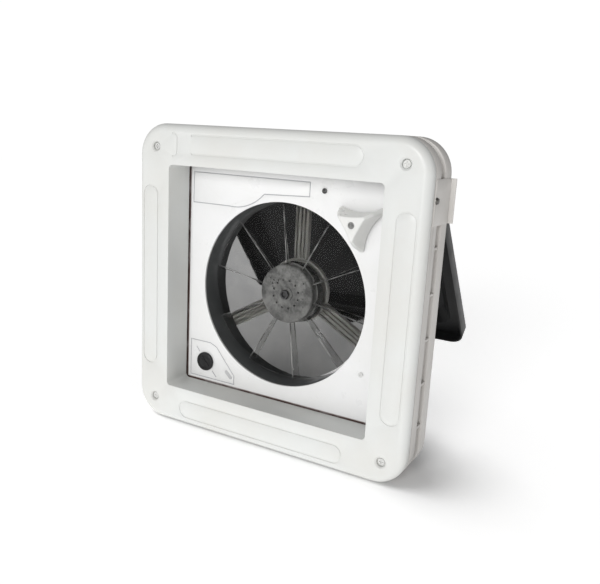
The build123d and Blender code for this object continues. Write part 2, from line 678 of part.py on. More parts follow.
# ---------------------------------------------------------------- lift gearbox
BOX_X = (107.0, 134.0)
BOX_Z = (75.0, 124.0)
BOX_Y = (40.0, 70.0)
BOX_WALL = 2.0
WHEEL_R = 11.2
box_mid = ((BOX_X[0] + BOX_X[1]) / 2, (BOX_Z[0] + BOX_Z[1]) / 2)
box_size = (BOX_X[1] - BOX_X[0], BOX_Z[1] - BOX_Z[0])
box_screw_places = [(101.0, 118.0), (138.5, 118.0)]

with BuildPart() as gearbox_housing:
    with BuildSketch(cut_plane(BOX_Y[1] - 2)):
        with Locations(box_mid):
            RectangleRounded(box_size[0], box_size[1], 3)
            RectangleRounded(box_size[0] - 2 * BOX_WALL, box_size[1] - 2 * BOX_WALL, 1.5, mode=Mode.SUBTRACT)
    extrude(amount=BOX_Y[1] - 2 - BOX_Y[0])
    with BuildSketch(cut_plane(BOX_Y[0] + 2)):
        with Locations(box_mid):
            RectangleRounded(box_size[0], box_size[1], 3)
        with Locations(*box_screw_places):
            Circle(5)
    extrude(amount=2)
    # two tubular feet that carry the box off the back of the plate
    disc(PLATE_FRONT + PLATE_T, 42, 4.5, box_screw_places)
    disc(BOX_Y[0], BOX_Y[0] + 2, 8.1, [(CRANK_X, CRANK_Z)], Mode.SUBTRACT)
    disc(PLATE_FRONT, 42, 1.8, box_screw_places, Mode.SUBTRACT)
    with BuildSketch(Plane.YZ.offset(BOX_X[0] - 1)):
        with Locations((ARM_PIVOT_Y, ARM_PIVOT_Z)):
            Circle(4.08)
    extrude(amount=BOX_X[1] - BOX_X[0] + 2, mode=Mode.SUBTRACT)
save(gearbox_housing, "gearbox_housing")

with BuildPart() as gearbox_cover:
    with BuildSketch(cut_plane(BOX_Y[1])):
        with Locations(box_mid):
            RectangleRounded(box_size[0], box_size[1], 3)
    extrude(amount=2)
    disc(BOX_Y[1] - 2, BOX_Y[1], 5.08, [(CRANK_X, CRANK_Z)], Mode.SUBTRACT)
save(gearbox_cover, "gearbox_cover")

outer_screws("gearbox_screws", box_screw_places, 42, 3.2, 1.8, 1.75, 6, 0.9)

with BuildPart() as worm_wheel:
    with BuildSketch(arm_plane(113.5)):
        Circle(WHEEL_R)
        with PolarLocations(WHEEL_R, 20):
            Rectangle(2.4, 1.4, mode=Mode.SUBTRACT)
        Circle(4.0, mode=Mode.SUBTRACT)
    extrude(amount=9)
save(worm_wheel, "worm_wheel")

# ---------------------------------------------------------------- lift arm
with BuildPart() as arm_shaft:
    with BuildSketch(arm_plane(101)):
        Circle(4.0)
    extrude(amount=ARM_X + 2 - 101)
save(arm_shaft, "arm_shaft")

with BuildPart() as lift_arm:
    with BuildSketch(arm_plane(ARM_X - 2)):
        with Locations((ARM_LENGTH / 2, 0)):
            SlotCenterToCenter(ARM_LENGTH, 10)
        with Locations((ARM_LENGTH / 2, 0)):
            SlotCenterToCenter(70, 4, mode=Mode.SUBTRACT)
        Circle(4.0, mode=Mode.SUBTRACT)
        with Locations((ARM_LENGTH, 0)):
            Circle(1.6, mode=Mode.SUBTRACT)
    extrude(amount=4)
save(lift_arm, "lift_arm")

with BuildPart() as slide_button:
    with BuildSketch(arm_plane(ARM_X + 2)):
        with Locations((ARM_LENGTH, 0)):
            Circle(3.5)
    extrude(amount=6)
    with BuildSketch(arm_plane(ARM_X - 3)):
        with Locations((ARM_LENGTH, 0)):
            Circle(1.6)
    extrude(amount=5)
save(slide_button, "slide_button")

# ---------------------------------------------------------------- lid
LID_LONG = LID_FAR - LID_NEAR
LID_MID = (LID_FAR + LID_NEAR) / 2
EAR_X = HINGE_X
EAR_T = 10.0


def lid_outline(inset, radius):
    """Rounded outline of the lid, inset from its edge, in the sketch being built."""
    with Locations((0, LID_MID)):
        RectangleRounded(2 * (LID_HALF - inset), LID_LONG - 2 * inset, radius)


with BuildPart() as lid:
    with BuildSketch(lid_plane(LID_OFF)):
        lid_outline(0, LID_R)
    extrude(amount=-SKIRT)
    with BuildSketch(lid_plane(LID_OFF)):
        lid_outline(DOME_RIM, LID_R)
    with BuildSketch(lid_plane(LID_OFF + DOME_RISE)):
        lid_outline(DOME_RIM + DOME_SLOPE, LID_R)
    loft()
    with BuildSketch(lid_plane(LID_OFF - LID_T)):
        lid_outline(LID_T, LID_R - LID_T)
    extrude(amount=-(SKIRT - LID_T), mode=Mode.SUBTRACT)
    with BuildSketch(lid_plane(LID_OFF - LID_T)):
        lid_outline(DOME_RIM + 1.5, LID_R)
    with BuildSketch(lid_plane(LID_OFF + DOME_RISE - LID_T)):
        lid_outline(DOME_RIM + DOME_SLOPE + 1.5, LID_R)
    loft(mode=Mode.SUBTRACT)
    # hinge ears outside the near edge
    for side in (-1, 1):
        with BuildSketch(Plane(origin=(side * EAR_X - EAR_T / 2, HINGE_Y, HINGE_Z),
                               x_dir=lid_plane(0).y_dir, z_dir=(1, 0, 0))):
            Circle(6.2)
            with Locations((LID_NEAR / 2 + 0.6, -0.2)):
                Rectangle(LID_NEAR, 12)
            Circle(2.58, mode=Mode.SUBTRACT)
        extrude(amount=EAR_T)
save(lid, "lid")

TRACK_S = (116.0, 244.0)
RAIL_T = 2.5
RAIL_LIP = 1.2
RAIL_DEEP = 14.0
dome_inner = LID_OFF + DOME_RISE - LID_T
track_mid = (TRACK_S[0] + TRACK_S[1]) / 2
track_long = TRACK_S[1] - TRACK_S[0]
lid_screw_places = [(147.0, TRACK_S[0] - 5), (147.0, TRACK_S[1] + 5)]

with BuildPart() as lift_track:
    # a rail along the lid: base, outer wall and the lip that holds the sliding button
    with BuildSketch(lid_plane(dome_inner)):
        with Locations((147, track_mid)):
            Rectangle(8, track_long)
    extrude(amount=-RAIL_T)
    with BuildSketch(lid_plane(dome_inner)):
        with Locations(*lid_screw_places):
            Rectangle(8, 12)
    extrude(amount=-1.0)
    with BuildSketch(lid_plane(dome_inner)):
        with Locations((150.2, track_mid)):
            Rectangle(1.6, track_long)
    extrude(amount=-RAIL_DEEP)
    with BuildSketch(lid_plane(dome_inner - RAIL_DEEP + RAIL_LIP)):
        with Locations((147.2, track_mid)):
            Rectangle(7.6, track_long)
    extrude(amount=-RAIL_LIP)
    with BuildSketch(lid_plane(dome_inner)):
        with Locations(*lid_screw_places):
            Circle(1.6)
    extrude(amount=-1.0, mode=Mode.SUBTRACT)
save(lift_track, "lift_track")

with BuildPart() as track_screws:
    with BuildSketch(lid_plane(dome_inner - 1.0)):
        with Locations(*lid_screw_places):
            Circle(3.0)
    extrude(amount=-1.6)
    with BuildSketch(lid_plane(dome_inner - 1.0)):
        with Locations(*lid_screw_places):
            Circle(1.55)
    extrude(amount=1.0)
save(track_screws, "track_screws")

# ---------------------------------------------------------------- hinge posts
CHEEK_T = 5.0
CHEEK_GAP = 0.4
POST_Z = (193.6, 210.0)


def hinge_post(name, x):
    """Channel-shaped post on the flange, with the pin eye at its top."""
    with BuildPart() as post:
        with BuildSketch(cut_plane(FLANGE_T + 3)):
            with Locations((x, (POST_Z[0] + POST_Z[1]) / 2)):
                Rectangle(EAR_T + 2 * CHEEK_T + 2 * CHEEK_GAP, POST_Z[1] - POST_Z[0])
        extrude(amount=3)
        for side in (-1, 1):
            cheek_x = x + side * (EAR_T / 2 + CHEEK_GAP + CHEEK_T / 2) - CHEEK_T / 2
            with BuildSketch(Plane.YZ.offset(cheek_x)):
                with Locations(((HINGE_Y + FLANGE_T) / 2, (POST_Z[0] + POST_Z[1]) / 2)):
                    Rectangle(HINGE_Y - FLANGE_T, POST_Z[1] - POST_Z[0])
                with Locations((HINGE_Y, HINGE_Z)):
                    Circle(6.4)
                    Circle(2.5, mode=Mode.SUBTRACT)
            extrude(amount=CHEEK_T)
        with BuildSketch(Plane.YZ.offset(x - EAR_T / 2 - CHEEK_GAP)):
            with Locations(((70 + FLANGE_T) / 2, POST_Z[1] - 1.5)):
                Rectangle(70 - FLANGE_T, 3)
        extrude(amount=EAR_T + 2 * CHEEK_GAP)
        disc(0, FLANGE_T + 3, 1.85, [(x, HINGE_Z)], Mode.SUBTRACT)
    save(post, name)


hinge_post("hinge_post_left", -HINGE_X)
hinge_post("hinge_post_right", HINGE_X)

outer_screws("post_screws", [(-HINGE_X, HINGE_Z), (HINGE_X, HINGE_Z)], FLANGE_T + 3, 3.6, 2.2, 1.8, 12)

with BuildPart() as hinge_pins:
    for side in (-1, 1):
        with BuildSketch(Plane.YZ.offset(side * HINGE_X - 11.5)):
            with Locations((HINGE_Y, HINGE_Z)):
                Circle(2.5)
        extrude(amount=23)
        with BuildSketch(Plane.YZ.offset(side * HINGE_X - 12.4)):
            with Locations((HINGE_Y, HINGE_Z)):
                Circle(4)
        extrude(amount=2)
save(hinge_pins, "hinge_pins")

# ---------------------------------------------------------------- side brackets
LIP_OUT = 7.0            # how far the clip's lip stands out from the wall


def side_bracket(name, side):
    """Clip that fills the groove, hooks over the wall's rear edge and ends in an outward lip."""
    with BuildPart() as bracket:
        with BuildSketch(Plane.YZ.offset(side * (HALF - GROOVE_IN))):
            with Locations(((GROOVE[0] + GROOVE[1]) / 2, BRACKET_Z)):
                Rectangle(GROOVE[1] - GROOVE[0] - 0.4, BRACKET_H)
        extrude(amount=side * (GROOVE_IN + 0.8))
        with BuildSketch(Plane.YZ.offset(side * HALF)):
            with Locations(((WALL_TOP + 2) / 2, BRACKET_Z)):
                RectangleRounded(WALL_TOP - 2, BRACKET_H, 1.5)
        extrude(amount=side * 0.8)
        with BuildSketch(Plane.XY.offset(BRACKET_Z - BRACKET_H / 2)):
            with Locations((side * (HALF + LIP_OUT / 2 - 3), WALL_TOP + 1)):
                Rectangle(LIP_OUT + 6, 2)
            with Locations((side * (HALF - 5), WALL_TOP - 3)):
                Rectangle(2, 10)
        extrude(amount=BRACKET_H)
        with BuildSketch(Plane.YZ.offset(side * HALF)):
            with Locations(BRACKET_SCREW):
                Circle(2.1)
        extrude(amount=side * 0.8, mode=Mode.SUBTRACT)
    save(bracket, name)


side_bracket("side_bracket_left", -1)
side_bracket("side_bracket_right", 1)

with BuildPart() as bracket_screws:
    for side in (-1, 1):
        with BuildSketch(Plane.YZ.offset(side * (HALF + 0.8))):
            with Locations(BRACKET_SCREW):
                Circle(4.4)
        extrude(amount=side * 2.6, taper=22)
        with BuildSketch(Plane.YZ.offset(side * (HALF + 0.8 - 10))):
            with Locations(BRACKET_SCREW):
                Circle(1.85)
        extrude(amount=side * 10)
save(bracket_screws, "bracket_screws")

# ---------------------------------------------------------------- speed control
with BuildPart() as speed_knob:
    disc(KNOB_FRONT, KNOB_BACK, 14.5, [(KNOB_X, KNOB_Z)])
    knob_rim = speed_knob.faces().sort_by(Axis.Y)[0].edges()
    fillet(knob_rim, 1.4)
    # finger dish with a grip bar left standing across it
    with BuildSketch(cut_plane(KNOB_FRONT + KNOB_DISH)):
        with Locations((KNOB_X, KNOB_Z)):
            Circle(10.5)
            Rectangle(24, 4.2, rotation=KNOB_AIM, mode=Mode.SUBTRACT)
    extrude(amount=KNOB_DISH, mode=Mode.SUBTRACT)
    # pointer line on the bar
    with BuildSketch(cut_plane(KNOB_FRONT + 0.6)):
        with Locations((KNOB_X, KNOB_Z)):
            with Locations(Location((0, 0), KNOB_AIM)):
                with Locations((7.5, 0)):
                    Rectangle(9, 1.6)
    extrude(amount=0.6, mode=Mode.SUBTRACT)
    disc(SPINDLE_FRONT, KNOB_BACK, SPINDLE_R, [(KNOB_X, KNOB_Z)], Mode.SUBTRACT)
save(speed_knob, "speed_knob")

with BuildPart() as switch_spindle:
    disc(SPINDLE_FRONT, 45, SPINDLE_R, [(KNOB_X, KNOB_Z)])
save(switch_spindle, "switch_spindle")

with BuildPart() as speed_switch:
    with BuildSketch(cut_plane(58)):
        with Locations((KNOB_X, KNOB_Z)):
            RectangleRounded(26, 26, 2)
    extrude(amount=58 - 38.5)
    disc(PLATE_FRONT - 0.5, 38.5, 5.0, [(KNOB_X, KNOB_Z)])
    disc(PLATE_FRONT - 2, 46, SPINDLE_R + 0.08, [(KNOB_X, KNOB_Z)], Mode.SUBTRACT)
    with BuildSketch(cut_plane(64)):
        with Locations(*[(KNOB_X + dx, KNOB_Z - 6) for dx in (-8, 0, 8)]):
            Rectangle(4.8, 0.8)
    extrude(amount=6)
save(speed_switch, "speed_switch")

with BuildPart() as switch_nut:
    with BuildSketch(cut_plane(38.5)):
        with Locations((KNOB_X, KNOB_Z)):
            RegularPolygon(9, 6)
            Circle(5.0, mode=Mode.SUBTRACT)
    extrude(amount=38.5 - PLATE_FRONT - PLATE_T)
save(switch_nut, "switch_nut")

with BuildPart() as fuse_holder:
    with BuildSketch(cut_plane(54)):
        with Locations((-87, -147)):
            SlotOverall(16, 5, rotation=-42)
    extrude(amount=54 - PLATE_FRONT + 0.6)
    with BuildSketch(cut_plane(40)):
        with Locations((-87, -147)):
            SlotOverall(20, 9, rotation=-42)
    extrude(amount=4)
save(fuse_holder, "fuse_holder")
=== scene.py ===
"""Looks for the roof vent fan: materials, rounded edges, lights, floor and camera."""
import math

import bpy
from mathutils import Matrix, Vector


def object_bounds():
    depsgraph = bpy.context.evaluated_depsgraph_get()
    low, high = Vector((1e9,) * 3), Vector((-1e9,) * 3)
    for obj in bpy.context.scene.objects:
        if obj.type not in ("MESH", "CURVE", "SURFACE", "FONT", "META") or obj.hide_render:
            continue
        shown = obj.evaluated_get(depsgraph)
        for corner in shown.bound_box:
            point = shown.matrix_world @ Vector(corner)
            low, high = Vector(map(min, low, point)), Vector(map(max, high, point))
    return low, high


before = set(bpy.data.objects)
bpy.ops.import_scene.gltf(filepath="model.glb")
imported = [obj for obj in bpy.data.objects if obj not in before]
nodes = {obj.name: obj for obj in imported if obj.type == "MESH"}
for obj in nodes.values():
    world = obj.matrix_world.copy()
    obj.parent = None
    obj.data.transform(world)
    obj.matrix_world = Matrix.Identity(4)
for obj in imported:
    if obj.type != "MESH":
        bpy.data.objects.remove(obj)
CAD_LOW, CAD_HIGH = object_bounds()

MM = 0.001
FAN_AXIS = Vector((-2.0, 0.0, -9.0)) * MM


# ---------------------------------------------------------------- material building
class Look:
    """One node material, built up from procedural layers over object coordinates."""

    def __init__(self, name, **sockets):
        self.mat = bpy.data.materials.new(name)
        self.mat.use_nodes = True
        self.tree = self.mat.node_tree
        self.shader = self.tree.nodes["Principled BSDF"]
        self.coord = self.tree.nodes.new("ShaderNodeTexCoord").outputs["Object"]
        self.normal = None
        for key, value in sockets.items():
            self.shader.inputs[key.replace("_", " ")].default_value = value

    def link(self, a, b):
        self.tree.links.new(a, b)

    # ---- patterns
    def scaled(self, scale):
        stretch = self.tree.nodes.new("ShaderNodeMapping")
        stretch.inputs["Scale"].default_value = scale
        self.link(self.coord, stretch.inputs["Vector"])
        return stretch.outputs["Vector"]

    def noise(self, scale, detail=4.0, rough=0.55, stretch=None):
        node = self.tree.nodes.new("ShaderNodeTexNoise")
        node.inputs["Scale"].default_value = scale
        node.inputs["Detail"].default_value = detail
        node.inputs["Roughness"].default_value = rough
        self.link(self.scaled(stretch) if stretch else self.coord, node.inputs["Vector"])
        return node.outputs["Fac"]

    def cells(self, scale):
        node = self.tree.nodes.new("ShaderNodeTexVoronoi")
        node.feature = "SMOOTH_F1"
        node.inputs["Scale"].default_value = scale
        self.link(self.coord, node.inputs["Vector"])
        return node.outputs["Distance"]

    # ---- arithmetic
    def spread(self, value, low, high, to_low=0.0, to_high=1.0):
        """Eases from to_low to to_high as the value goes from low to high."""
        node = self.tree.nodes.new("ShaderNodeMapRange")
        node.interpolation_type = "SMOOTHSTEP"
        node.inputs["From Min"].default_value = low
        node.inputs["From Max"].default_value = high
        node.inputs["To Min"].default_value = to_low
        node.inputs["To Max"].default_value = to_high
        self.link(value, node.inputs["Value"])
        return node.outputs["Result"]

    def math(self, operation, a, b=0.0):
        node = self.tree.nodes.new("ShaderNodeMath")
        node.operation = operation
        for socket, value in zip(node.inputs, (a, b)):
            if isinstance(value, (int, float)):
                socket.default_value = value
            else:
                self.link(value, socket)
        return node.outputs["Value"]

    def times(self, a, b):
        return self.math("MULTIPLY", a, b)

    def inverse(self, value):
        return self.math("SUBTRACT", 1.0, value)

    def between(self, value, low, high):
        return self.times(self.math("GREATER_THAN", value, low), self.math("LESS_THAN", value, high))

    def length(self, a, b):
        return self.math("SQRT", self.math("ADD", self.times(a, a), self.times(b, b)))

    def mix(self, factor, first, second):
        node = self.tree.nodes.new("ShaderNodeMix")
        node.data_type = "RGBA"
        self.link(factor, node.inputs["Factor"])
        for socket, value in ((node.inputs[6], first), (node.inputs[7], second)):
            if isinstance(value, tuple):
                socket.default_value = (*value, 1.0)
            else:
                self.link(value, socket)
        return node.outputs[2]

    # ---- where on the part
    def place(self):
        """The point's X, Y and Z in the part's frame, in metres."""
        split = self.tree.nodes.new("ShaderNodeSeparateXYZ")
        self.link(self.coord, split.inputs["Vector"])
        return [split.outputs[axis] for axis in "XYZ"]

    def from_fan_axis(self, x, z):
        """Distances across and above the fan's axis, and out from it."""
        across = self.math("SUBTRACT", x, FAN_AXIS.x)
        above = self.math("SUBTRACT", z, FAN_AXIS.z)
        return across, above, self.length(across, above)

    def from_centre(self, x, z):
        """How far out towards the nearest wall of the square neck."""
        return self.math("MAXIMUM", self.math("ABSOLUTE", x), self.math("ABSOLUTE", z))

    # ---- what the surface shows
    def colour(self, value):
        self.link(value, self.shader.inputs["Base Color"])

    def clouded(self, first, second, scale=9.0, low=0.35, high=0.68):
        """Slow drift between two close shades, as in aged moulded plastic."""
        return self.mix(self.spread(self.noise(scale, 5.0, 0.6), low, high), first, second)

    def roughness(self, pattern, low, high, rough):
        self.link(self.spread(pattern, low, high, *rough), self.shader.inputs["Roughness"])

    def bump(self, height, strength, distance):
        node = self.tree.nodes.new("ShaderNodeBump")
        node.inputs["Strength"].default_value = strength
        node.inputs["Distance"].default_value = distance
        self.link(height, node.inputs["Height"])
        if self.normal is not None:
            self.link(self.normal, node.inputs["Normal"])
        self.normal = node.outputs["Normal"]
        self.link(self.normal, self.shader.inputs["Normal"])


# ---------------------------------------------------------------- plain materials
WAVE = (55.0, 0.12, 0.25 * MM)      # slow ripple of a moulded face: scale, strength, height


def moulded_white(name, base, warm, rough=(0.30, 0.44), grain=900.0, grain_depth=0.06):
    look = Look(name, IOR=1.49, Specular_IOR_Level=0.5)
    look.colour(look.clouded(base, warm))
    look.roughness(look.noise(28.0, 6.0, 0.65, stretch=(1.0, 1.0, 0.35)), 0.32, 0.70, rough)
    look.bump(look.cells(grain), 0.35, grain_depth * MM)
    look.bump(look.noise(WAVE[0], 3.0), *WAVE[1:])
    return look.mat


def plain_plastic(name, dark, light, rough=(0.35, 0.5), grain=700.0, grain_depth=0.08, shine=0.5):
    look = Look(name, IOR=1.5, Specular_IOR_Level=shine)
    look.colour(look.clouded(dark, light, 14.0, 0.3, 0.72))
    look.roughness(look.noise(36.0, 6.0, 0.62), 0.3, 0.7, rough)
    look.bump(look.cells(grain), 0.4, grain_depth * MM)
    return look.mat


def metal(name, dark, light, rough=(0.22, 0.42)):
    look = Look(name, Metallic=1.0)
    brushed = look.noise(160.0, 4.0, 0.6, stretch=(1.0, 8.0, 1.0))
    look.colour(look.mix(look.spread(brushed, 0.3, 0.7), dark, light))
    look.roughness(look.noise(90.0, 5.0), 0.3, 0.7, rough)
    look.bump(brushed, 0.15, 0.04 * MM)
    return look.mat


# ---------------------------------------------------------------- neck and plate
NECK_WALL = 171.2 * MM                      # everything nearer the centre is inside the neck
PLATE_LINE = 31.5 * MM                      # depth of the painted shade line
GAP_SHADE_HALF = (3.5 * MM, 5.5 * MM)            # the painted shade line's half width, full and faded out
GAP_SHADE_BORDER = (163.2 * MM, 165.2 * MM)      # the plate's painted shade starts and is full
ENGRAVED = (33.3 * MM, 34.5 * MM)           # depths of the engraved lines' floors, which get painted grey shade
DUCT_EDGE = 136.5 * MM                      # the engraving lies outside the duct hole


def neck_white(name, base, warm, gap_shade):
    """Moulded white, with a painted brown shade line inside the neck where the plate meets it."""
    look = Look(name, IOR=1.49)
    clean = look.clouded(base, warm)
    x, y, z = look.place()
    inside = look.math("LESS_THAN", look.from_centre(x, z), NECK_WALL)
    depth = look.math("ABSOLUTE", look.math("SUBTRACT", y, PLATE_LINE))
    # painted shade: a dark brown line inside the neck at the depth where the plate meets it
    shaded_gap = look.times(inside, look.spread(depth, *GAP_SHADE_HALF, 1.0, 0.0))
    uneven = look.spread(look.noise(40.0), 0.25, 0.55, 0.75, 1.0)
    look.colour(look.mix(look.times(shaded_gap, uneven), clean, gap_shade))
    look.roughness(look.noise(28.0, 6.0, 0.65), 0.32, 0.70, (0.36, 0.52))
    look.bump(look.cells(900.0), 0.35, 0.06 * MM)
    return look.mat


def plate_white(name, base, warm, line, gap_shade):
    """Glossy moulded white, with painted grey shade in its engraved lines and a painted brown shade line
    along its border.
    """
    look = Look(name, IOR=1.49)
    clean = look.clouded(base, warm)
    x, y, z = look.place()
    radius = look.from_fan_axis(x, z)[2]
    # painted shade: the floors of the engraved lines are coloured grey
    engraved = look.times(look.between(y, *ENGRAVED), look.math("GREATER_THAN", radius, DUCT_EDGE))
    uneven = look.spread(look.noise(40.0), 0.25, 0.55, 0.7, 1.0)
    # painted shade: a dark brown border along the plate's edge where it meets the neck
    shaded_gap = look.times(look.spread(look.from_centre(x, z), *GAP_SHADE_BORDER), uneven)
    look.colour(look.mix(shaded_gap, look.mix(engraved, clean, line), gap_shade))
    look.roughness(look.noise(28.0, 6.0, 0.65), 0.32, 0.70, (0.26, 0.40))
    look.bump(look.cells(1200.0), 0.35, 0.03 * MM)
    look.bump(look.noise(WAVE[0], 3.0), *WAVE[1:])
    return look.mat


def screw_paint(name, upper, lower, worn):
    """The plate's two screws: the upper one is bare and dark, the lower one is painted over."""
    look = Look(name, IOR=1.5)
    tone = look.mix(look.spread(look.place()[2], -10 * MM, 10 * MM), lower, upper)
    look.colour(look.mix(look.spread(look.noise(400.0), 0.45, 0.7, 0.0, 0.35), tone, worn))
    look.roughness(look.noise(200.0), 0.3, 0.7, (0.3, 0.5))
    look.bump(look.cells(900.0), 0.3, 0.05 * MM)
    return look.mat


# ---------------------------------------------------------------- fan wheel
PITCH = math.radians(36.0)
BLADE_START = math.radians(24.5)
BLADE_SPAN = math.radians(39.0)
HUB_SKIRT = 44.6 * MM                       # the blades start outside this radius
LEADING = (1.4 * MM, 55.5 * MM, 58.5 * MM)  # an edge line's half width, then its two depths
TRAILING = (0.9 * MM, 64.8 * MM, 67.5 * MM)
LINE_END = (100.0 * MM, 122.0 * MM)         # the edge lines fade out between these radii
LINE_SOLID = 0.7
HUB_FILM = 0.55                             # how much of the hub's face the dust covers
HUB_DARK = (0.13, 0.13, 0.127)
HUB_LIGHT = (0.32, 0.32, 0.31)
HUB_SPECK = (0.05, 0.05, 0.048)
# painted shade and painted highlight colours of the blade edge lines
EDGE_SHADE = (0.10, 0.10, 0.098)
EDGE_GLINT = (0.42, 0.42, 0.41)


def smoke(name, tint, light_tint, rough):
    """Tinted see-through plastic of the fan wheel, dusty on the hub, with painted highlights and painted
    shade along the blade edges.
    """
    look = Look(name, IOR=1.12)
    streak = look.noise(24.0, 5.0, 0.6, stretch=(1.0, 0.5, 1.0))
    clear = look.mix(look.spread(streak, 0.3, 0.7), tint, light_tint)
    x, y, z = look.place()
    across, above, radius = look.from_fan_axis(x, z)
    bearing = look.math("ARCTAN2", above, across)

    def edge_line(start, half_width, low, high):
        """1 on a radial line at this bearing from each blade, between two depths."""
        turn = look.math("ADD", look.math("SUBTRACT", bearing, start), PITCH / 2)
        step = look.math("SUBTRACT", look.math("FLOORED_MODULO", turn, PITCH), PITCH / 2)
        arc = look.times(look.math("ABSOLUTE", step), radius)
        return look.times(look.spread(arc, half_width * 0.6, half_width, 1.0, 0.0),
                          look.between(y, low, high))

    leading = edge_line(BLADE_START, *LEADING)
    trailing = edge_line(BLADE_START + BLADE_SPAN, *TRAILING)
    blade = look.math("GREATER_THAN", radius, HUB_SKIRT)
    hub = look.inverse(blade)
    rim = look.times(look.math("MAXIMUM", leading, trailing), blade)
    rim = look.times(rim, look.spread(radius, *LINE_END, 1.0, 0.1))
    # the hub's dust: a mottled film with a few dark specks
    film = look.mix(look.spread(look.noise(70.0, 6.0, 0.7), 0.32, 0.66), HUB_DARK, HUB_LIGHT)
    specks = look.times(look.spread(look.cells(210.0), 0.14, 0.26, 1.0, 0.0),
                        look.spread(look.noise(48.0, 2.0), 0.56, 0.64))
    film = look.mix(specks, film, HUB_SPECK)
    # painted highlights and shade: the blade edge lines are light in some patches and dark in others
    patchy = look.spread(look.noise(26.0, 3.0, 0.6), 0.42, 0.60)
    edge_glint_and_shade = look.mix(patchy, EDGE_SHADE, EDGE_GLINT)
    look.colour(look.mix(rim, look.mix(hub, clear, film), edge_glint_and_shade))
    solid = look.math("MAXIMUM", look.times(hub, HUB_FILM), look.times(rim, LINE_SOLID))
    look.link(look.inverse(solid), look.shader.inputs["Transmission Weight"])
    look.roughness(look.noise(60.0, 5.0), 0.3, 0.72, rough)
    look.bump(look.noise(45.0, 3.0), 0.10, 0.4 * MM)
    return look.mat


# ---------------------------------------------------------------- the materials
looks = {
    "trim": moulded_white("trim_white", (0.70, 0.71, 0.695), (0.68, 0.68, 0.655)),
    "body": moulded_white("frame_white", (0.60, 0.58, 0.555), (0.565, 0.545, 0.52), (0.36, 0.52)),
    # the last colour of the neck and of the plate is the painted brown shade line where they meet
    "neck": neck_white("neck_white", (0.645, 0.625, 0.60), (0.61, 0.59, 0.565),
                       (0.05, 0.032, 0.024)),
    "plate": plate_white("plate_white", (0.80, 0.80, 0.80), (0.78, 0.78, 0.77),
                         (0.45, 0.455, 0.47), (0.10, 0.062, 0.055)),
    "plate_screw": screw_paint("plate_screw_paint", (0.035, 0.034, 0.033), (0.66, 0.66, 0.65),
                               (0.42, 0.42, 0.41)),
    "fuse": moulded_white("fuse_white", (0.55, 0.555, 0.56), (0.50, 0.50, 0.505),
                          (0.30, 0.42), 1100.0, 0.03),
    "nut": plain_plastic("nut_black", (0.022, 0.022, 0.023), (0.05, 0.05, 0.051), (0.3, 0.45)),
    "dull": metal("dull_zinc", (0.20, 0.20, 0.195), (0.32, 0.32, 0.31), (0.3, 0.45)),
    "knob": moulded_white("knob_white", (0.76, 0.76, 0.745), (0.73, 0.725, 0.70),
                          (0.24, 0.38), 1100.0, 0.03),
    "guard": moulded_white("guard_white", (0.76, 0.76, 0.75), (0.73, 0.73, 0.71), (0.3, 0.45)),
    "black": plain_plastic("duct_black", (0.060, 0.063, 0.064), (0.084, 0.088, 0.089), (0.34, 0.5)),
    "grey": plain_plastic("spider_grey", (0.29, 0.285, 0.268), (0.42, 0.415, 0.39), (0.38, 0.55)),
    "lid": plain_plastic("lid_smoke", (0.0135, 0.014, 0.0145), (0.0175, 0.018, 0.0185),
                         (0.34, 0.42), 1300.0, 0.012, 0.12),
    "switch": plain_plastic("switch_black", (0.008, 0.0085, 0.009), (0.016, 0.0165, 0.017),
                            (0.30, 0.44), shine=0.3),
    "nylon": plain_plastic("gear_nylon", (0.66, 0.65, 0.60), (0.72, 0.71, 0.66), (0.4, 0.55)),
    "rubber": plain_plastic("seal_rubber", (0.018, 0.018, 0.018), (0.03, 0.03, 0.03),
                            (0.6, 0.8), 420.0, 0.2),
    "ferrite": plain_plastic("magnet_ferrite", (0.05, 0.05, 0.052), (0.075, 0.075, 0.077),
                             (0.55, 0.75)),
    "zinc": metal("zinc_steel", (0.46, 0.46, 0.45), (0.68, 0.68, 0.66)),
    "dark": metal("dark_zinc", (0.09, 0.085, 0.08), (0.17, 0.165, 0.155), (0.28, 0.45)),
    "brass": metal("bearing_brass", (0.55, 0.40, 0.18), (0.70, 0.55, 0.28)),
    "can": metal("motor_steel", (0.42, 0.42, 0.41), (0.60, 0.60, 0.585), (0.34, 0.5)),
    "smoke": smoke("smoke_wheel", (0.70, 0.70, 0.70), (0.80, 0.80, 0.79), (0.05, 0.14)),
    "pale": plain_plastic("pale_steel", (0.58, 0.58, 0.57), (0.70, 0.70, 0.68), (0.3, 0.45)),
}

WEARS = {
    "trim_ring": "trim", "trim_screws": "pale", "roof_frame": "body", "frame_neck": "neck",
    "corner_tubes": "body", "frame_ribs": "body", "curb_seal": "rubber",
    "fan_plate": "plate", "plate_screws": "plate_screw", "fan_shroud": "black",
    "motor_spider": "grey", "spider_screws": "zinc", "motor_can": "can", "motor_screws": "zinc",
    "motor_end_cap": "can", "motor_magnets": "ferrite", "motor_bearings": "brass",
    "motor_shaft": "nut", "motor_rotor": "dark", "fan_wheel": "smoke", "hub_insert": "dark",
    "fan_nut": "nut", "crank_knob": "knob", "crank_screw": "dull", "crank_shaft": "zinc",
    "crank_worm": "nylon", "crank_bush": "knob", "gearbox_housing": "switch",
    "gearbox_cover": "switch", "gearbox_screws": "zinc", "worm_wheel": "nylon",
    "arm_shaft": "zinc", "lift_arm": "zinc", "slide_button": "nylon", "lid": "lid",
    "lift_track": "zinc", "track_screws": "zinc", "hinge_post_left": "guard",
    "hinge_post_right": "guard", "post_screws": "zinc", "hinge_pins": "zinc",
    "side_bracket_left": "body", "side_bracket_right": "body", "bracket_screws": "dark",
    "speed_knob": "switch", "switch_spindle": "zinc", "speed_switch": "switch",
    "switch_nut": "zinc", "fuse_holder": "fuse",
}

